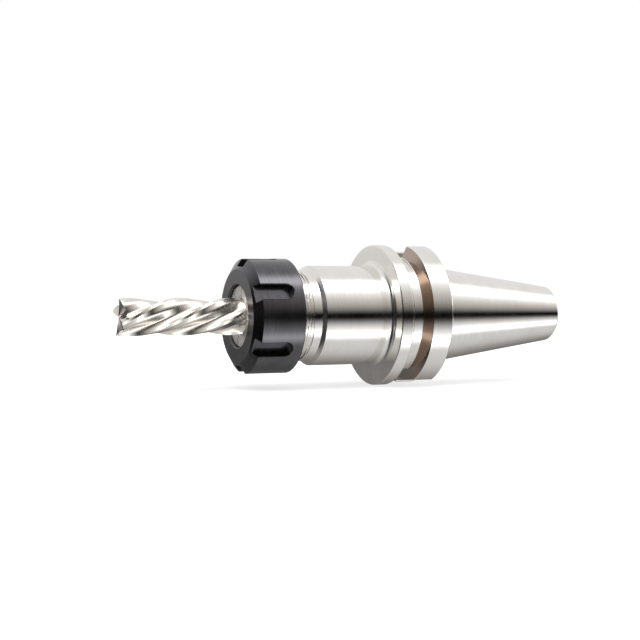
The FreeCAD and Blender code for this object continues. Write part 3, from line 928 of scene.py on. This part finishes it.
@dataclass
class Studio:
    """The pale floor, the soft light and the camera."""

    eye: tuple[float, float, float] = (-0.2912, -0.5409, 0.0127)
    target: tuple[float, float, float] = (-0.05206, 0.0, -0.00201)
    lens: float = 75.03
    sensor: float = 36.0
    floor_size: float = 6.0
    # Share of the floor that is plain white to the camera; the rest takes the soft shadow.
    floor_glow: float = 0.72
    # Brightness and warmth of the surroundings against the angle round the holder's axis: 0 is
    # level in front, 90 overhead, 180 level behind and -90 underfoot.
    surroundings: tuple[tuple[float, float, float], ...] = (
        (-180, 0.45, 0.02), (-178.5, 0.20, 0.02), (-150, 0.20, 0.03), (-134, 0.26, 0.03),
        (-114, 0.40, 0.02), (-99, 0.56, 0.01), (-80, 0.66, 0.0), (-60, 0.70, 0.0), (-51, 1.2, 0.0),
        (-47, 2.8, 0.0), (-39, 2.8, 0.0), (-34, 1.1, 0.0), (-27, 0.85, 0.0), (-19, 0.48, 0.0),
        (-10, 0.10, 0.01), (-5, 0.0, 0.03), (4, 0.0, 0.05), (9, 0.10, 0.05), (14, 0.22, 0.05),
        (23, 0.42, 0.05), (37, 0.66, 0.04), (50, 0.95, 0.01), (62, 1.4, 0.0), (68, 4.0, 0.0),
        (80, 4.0, 0.0), (88, 1.2, 0.0), (98, 0.85, 0.01), (134, 0.84, 0.0), (170, 0.82, 0.01),
        (179, 0.75, 0.02),
    )
    brightest: float = 4.0

    def camera(self) -> None:
        """Makes the camera and looks at the target."""
        data = bpy.data.cameras.new("camera")
        data.lens, data.sensor_width = self.lens, self.sensor
        data.clip_start, data.clip_end = 0.01, 50.0
        camera = bpy.data.objects.new("camera", data)
        bpy.context.scene.collection.objects.link(camera)
        camera.location = self.eye
        camera.rotation_mode = "QUATERNION"
        camera.rotation_quaternion = (Vector(self.target) - Vector(self.eye)).to_track_quat("-Z", "Y")
        bpy.context.scene.camera = camera

    def floor(self, height: float) -> None:
        """Lays the pale floor at a height, in metres: white to the eye, with a soft shadow."""
        half = self.floor_size / 2
        mesh = bpy.data.meshes.new("floor")
        mesh.from_pydata(
            [(-half, -half, height), (half, -half, height), (half, half, height), (-half, half, height)],
            [], [(0, 1, 2, 3)],
        )
        floor = bpy.data.objects.new("floor", mesh)
        bpy.context.scene.collection.objects.link(floor)
        floor.visible_glossy = False
        material = bpy.data.materials.new("pale_floor_paint")
        material.use_nodes = True
        tree = material.node_tree
        tree.nodes.clear()
        path = add_node(tree, "ShaderNodeLightPath")
        paint = add_node(tree, "ShaderNodeBsdfDiffuse", values={"Color": linear("#F4F4F4")})
        clear = add_node(tree, "ShaderNodeEmission", values={"Strength": 1.0})
        part = add_node(
            tree, "ShaderNodeMath", {0: path.outputs["Is Camera Ray"]}, {1: self.floor_glow}, operation="MULTIPLY"
        )
        mix = add_node(
            tree, "ShaderNodeMixShader",
            {0: part.outputs[0], 1: paint.outputs[0], 2: clear.outputs[0]},
        )
        add_node(tree, "ShaderNodeOutputMaterial", {"Surface": mix.outputs[0]})
        mesh.materials.append(material)

    def world(self) -> None:
        """Sets the surroundings: white behind the object, soft bands of light in the metal."""
        world = bpy.data.worlds.new("studio")
        bpy.context.scene.world = world
        world.use_nodes = True
        tree = world.node_tree
        tree.nodes.clear()
        place = add_node(tree, "ShaderNodeTexCoord")
        axis = add_node(tree, "ShaderNodeSeparateXYZ", {0: place.outputs["Generated"]})
        front = add_node(tree, "ShaderNodeMath", {0: axis.outputs["Y"]}, {1: -1.0}, operation="MULTIPLY")
        angle = add_node(
            tree, "ShaderNodeMath", {0: axis.outputs["Z"], 1: front.outputs[0]}, operation="ARCTAN2"
        )
        part = add_node(
            tree, "ShaderNodeMapRange", {"Value": angle.outputs[0]},
            {"From Min": -math.pi, "From Max": math.pi, "To Min": 0.0, "To Max": 1.0},
        )
        bands = add_node(tree, "ShaderNodeValToRGB", {"Fac": part.outputs["Result"]})
        stops = bands.color_ramp.elements
        for index, (degrees, level, warmth) in enumerate(self.surroundings):
            where = (degrees + 180.0) / 360.0
            stop = stops[index] if index < 2 else stops.new(where)
            stop.position = where
            level = level / self.brightest
            stop.color = (level, level * (1 - warmth), level * (1 - 2 * warmth), 1.0)
        # A dark screen stands at the cutter's end, so faces that look that way show dark.
        screen = add_node(
            tree, "ShaderNodeMapRange", {"Value": axis.outputs["X"]},
            {"From Min": -0.88, "From Max": -0.62, "To Min": 0.04, "To Max": 1.0},
        )
        level = add_node(
            tree, "ShaderNodeMath", {0: screen.outputs["Result"]}, {1: self.brightest}, operation="MULTIPLY"
        )
        soft = add_node(
            tree, "ShaderNodeBackground", {"Color": bands.outputs["Color"], "Strength": level.outputs[0]}
        )
        white = add_node(tree, "ShaderNodeBackground", values={"Strength": 1.0})
        white.inputs["Color"].default_value = (1, 1, 1, 1)
        path = add_node(tree, "ShaderNodeLightPath")
        seen = add_node(
            tree, "ShaderNodeMath",
            {0: path.outputs["Is Camera Ray"], 1: path.outputs["Is Transmission Ray"]},
            operation="MAXIMUM",
        )
        mix = add_node(
            tree, "ShaderNodeMixShader", {0: seen.outputs[0], 1: soft.outputs[0], 2: white.outputs[0]}
        )
        add_node(tree, "ShaderNodeOutputWorld", {"Surface": mix.outputs[0]})

    def lamp(self, name: str, place: tuple[float, float, float], spread: float, strength: float) -> None:
        """Hangs a broad, far, soft lamp that faces the object from a direction."""
        data = bpy.data.lights.new(name, "SUN")
        data.angle, data.energy = math.radians(spread), strength
        lamp = bpy.data.objects.new(name, data)
        bpy.context.scene.collection.objects.link(lamp)
        lamp.rotation_mode = "QUATERNION"
        lamp.rotation_quaternion = (-Vector(place)).to_track_quat("-Z", "Y")
        lamp.visible_glossy = False

    def make(self, ground: float) -> None:
        """Sets up the whole studio over a floor at the height `ground`, in metres."""
        self.camera()
        self.floor(ground)
        self.world()
        self.lamp("key_lamp", (-0.5, -0.6, 1.6), 60.0, 2.2)
        self.lamp("fill_lamp", (0.7, 0.5, 1.6), 80.0, 1.2)
        bpy.context.scene.view_settings.view_transform = "Standard"


def main() -> None:
    """Builds every piece, then the studio, and reports each."""
    logging.basicConfig(level=logging.INFO, format="%(message)s")
    steel, oxide = GROUND_STEEL.material(), BLACK_OXIDE.material()
    HolderBody().make(steel)
    ClampingNut().make(oxide)
    SpringCollet().make(COLLET_STEEL.material())
    EndMill().make(CUTTER_STEEL.material())
    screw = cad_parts["stop_screw"]
    screw.data.materials.clear()
    screw.data.materials.append(SCREW_STEEL.material())
    Studio().make(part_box("holder_body")[0][2] - 0.0002)


if __name__ == "__main__":
    main()
